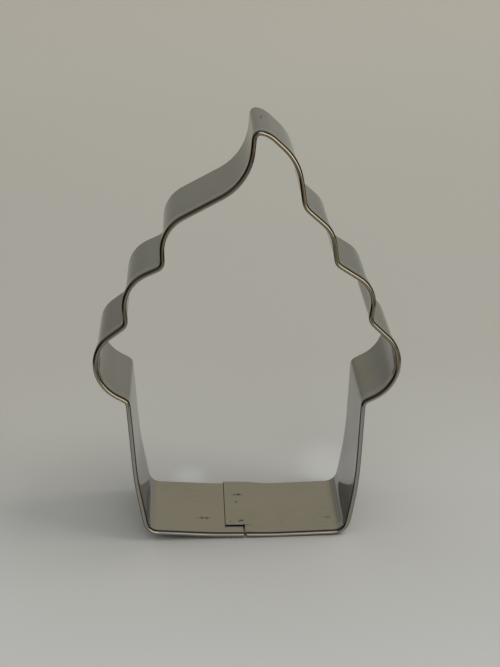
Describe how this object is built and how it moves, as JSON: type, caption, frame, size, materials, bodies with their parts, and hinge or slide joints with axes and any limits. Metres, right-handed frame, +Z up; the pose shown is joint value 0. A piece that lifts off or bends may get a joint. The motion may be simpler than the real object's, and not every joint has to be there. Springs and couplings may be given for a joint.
{
  "type": "cookie cutter",
  "caption": "Steel strip cookie cutter in a cupcake outline, with a hemmed rim, a plain cutting edge and a notched, spot-welded lap at the base.",
  "frame": {"origin": "on the surface that the cutter stands on, below the seam at the middle of the base, at mid depth of the strip", "axes": "+Z up from the base to the tip of the frosting, +Y from the hemmed rim to the cutting edge, +X to the right as seen from the hemmed side"},
  "size_m": [0.068, 0.025, 0.0964],
  "materials": {
    "bright_steel": "bright rolled",
    "weld": "dull fused"
  },
  "bodies": {
    "root": {"band": "bright_steel", "spot_weld_front": "weld", "spot_weld_rear": "weld"}
  },
  "joints": []
}
